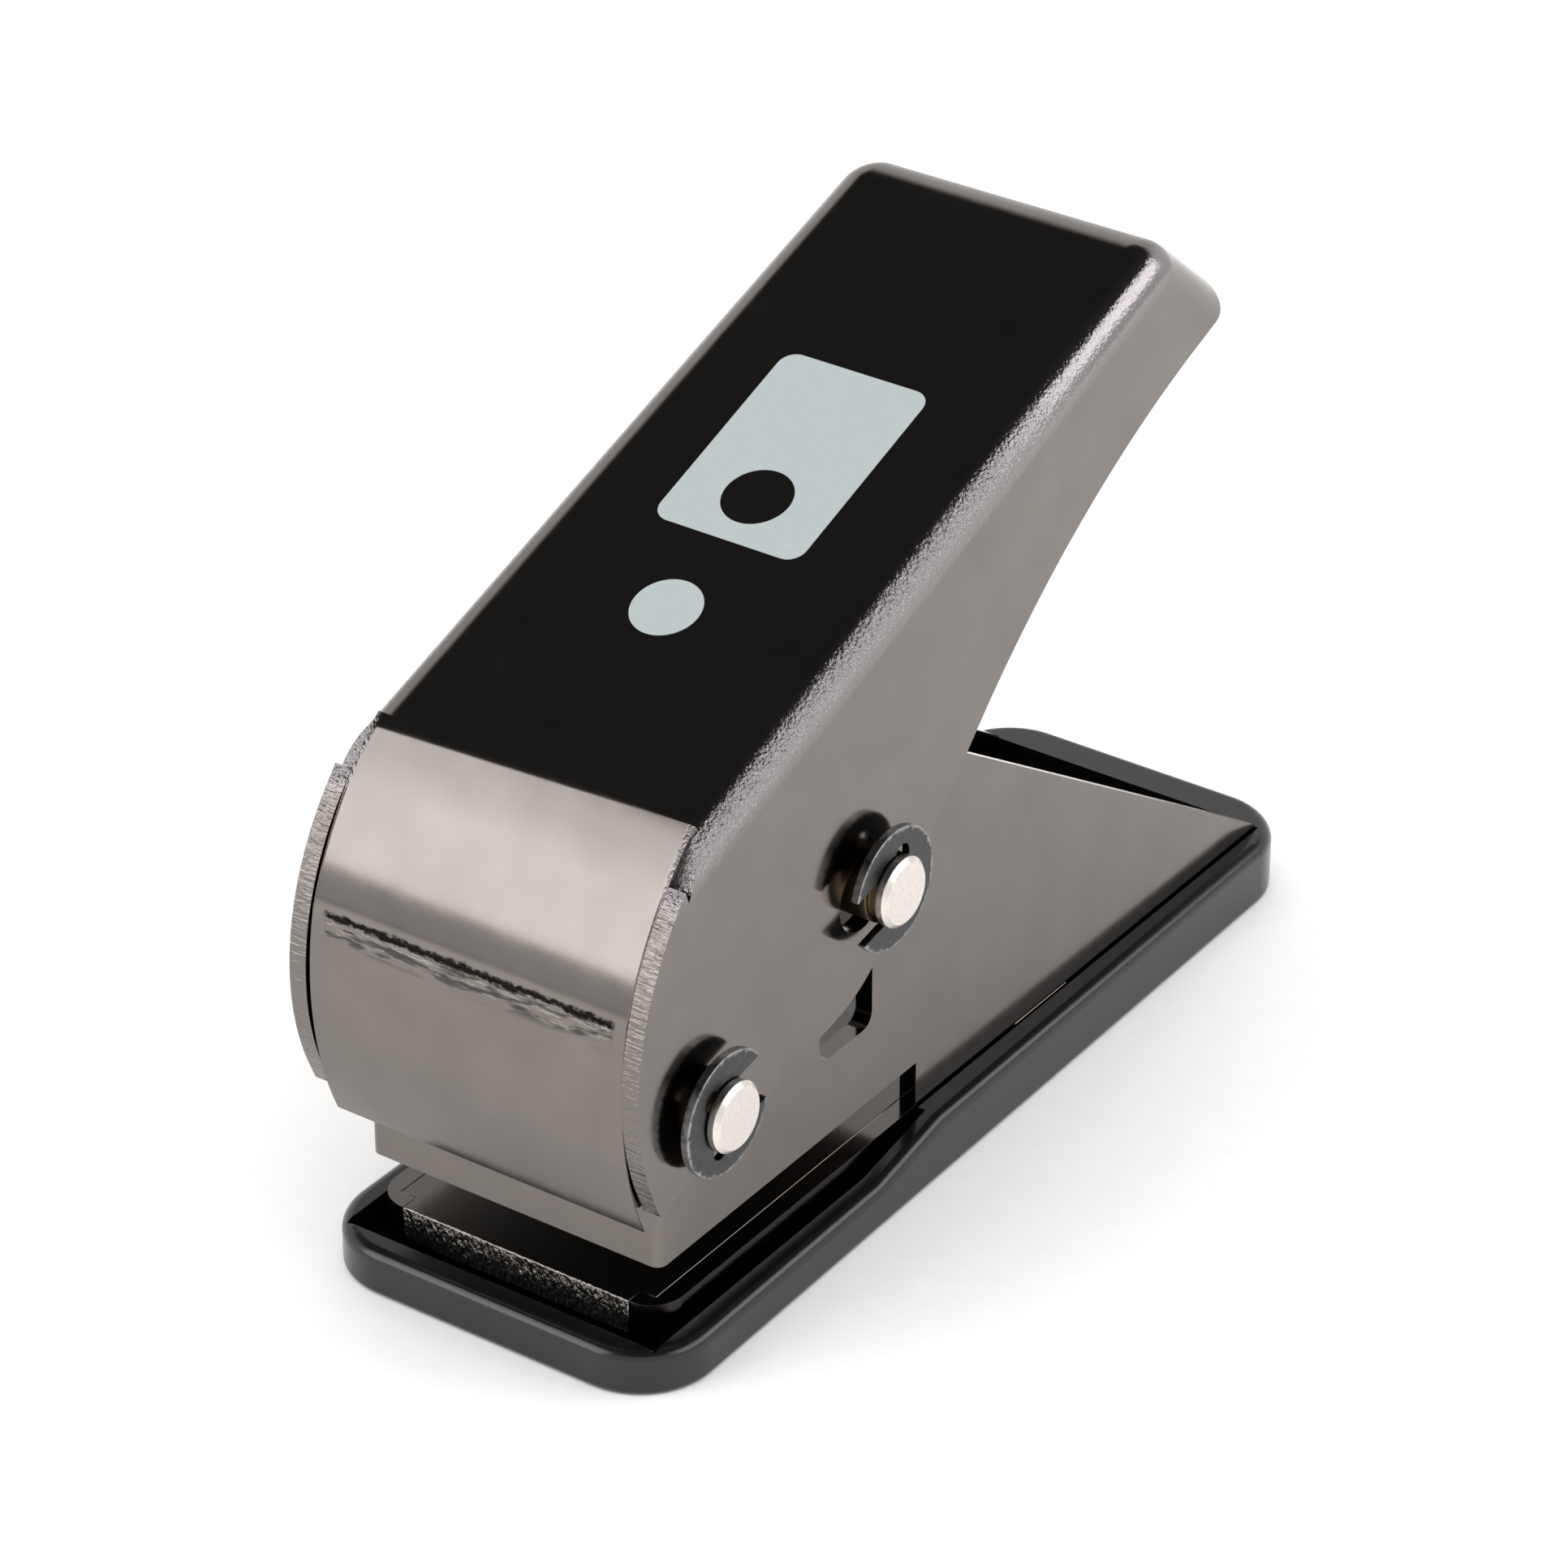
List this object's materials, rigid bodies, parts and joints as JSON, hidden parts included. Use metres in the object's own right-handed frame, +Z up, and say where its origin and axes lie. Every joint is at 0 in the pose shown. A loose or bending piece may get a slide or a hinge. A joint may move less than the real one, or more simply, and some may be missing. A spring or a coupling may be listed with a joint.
{
  "type": "hole punch",
  "caption": "Hand-held single-hole paper punch: folded steel frame and lever handle, spring-returned punch, clip-on chip tray.",
  "frame": {"origin": "middle of the chip tray's underside, where the punch rests on the desk", "axes": "+X to the punch's right side, the throat faces -Y, +Z up"},
  "size_m": [0.0392, 0.0995, 0.0709],
  "materials": {
    "gun_black_plate": "black-nickel plated pressed steel, mirror gloss",
    "sheared_plate": "plated steel plate with a rough sheared front edge",
    "turned_pin": "turned bright steel",
    "clip_steel": "black oxide spring steel",
    "hardened_steel": "ground hardened steel",
    "spring_wire": "bright spring wire",
    "bronze_bush": "machined sintered bronze",
    "guide_steel": "machined steel block",
    "black_plastic": "black moulded ABS, satin gloss"
  },
  "bodies": {
    "tray": {"chip_tray": "black_plastic"},
    "frame": {"frame": "gun_black_plate", "die_plate": "sheared_plate", "die_bush": "hardened_steel", "guide_block": "guide_steel", "guide_bush": "bronze_bush", "fulcrum_pin": "turned_pin", "front_clip_left": "clip_steel", "front_clip_right": "clip_steel", "spacer_left": "turned_pin", "spacer_right": "turned_pin", "return_spring": "spring_wire"},
    "lever": {"handle": "gun_black_plate"},
    "punch": {"punch_rod": "hardened_steel", "spring_washer": "turned_pin", "drive_pin": "turned_pin", "rear_clip_left": "clip_steel", "rear_clip_right": "clip_steel"}
  },
  "joints": [
    {"name": "tray_pull", "type": "slide", "parent": "frame", "child": "tray", "axis": [0, 0, -1], "range_m": [0, 0.012]},
    {"name": "handle_press", "type": "hinge", "parent": "frame", "child": "lever", "pos_m": [0, -0.0413, 0.0245], "axis": [-1, 0, 0], "range_deg": [0, 16], "stiffness_Nm_per_rad": 1.2, "springref_deg": -11.46},
    {"name": "punch_slide", "type": "slide", "parent": "frame", "child": "punch", "axis": [0, 0, -1], "range_m": [0, 0.0066], "deforming": ["return_spring"]}
  ],
  "couplings": [
    {"joint": "punch_slide", "follows": "handle_press", "m_per_rad": 0.02349}
  ]
}
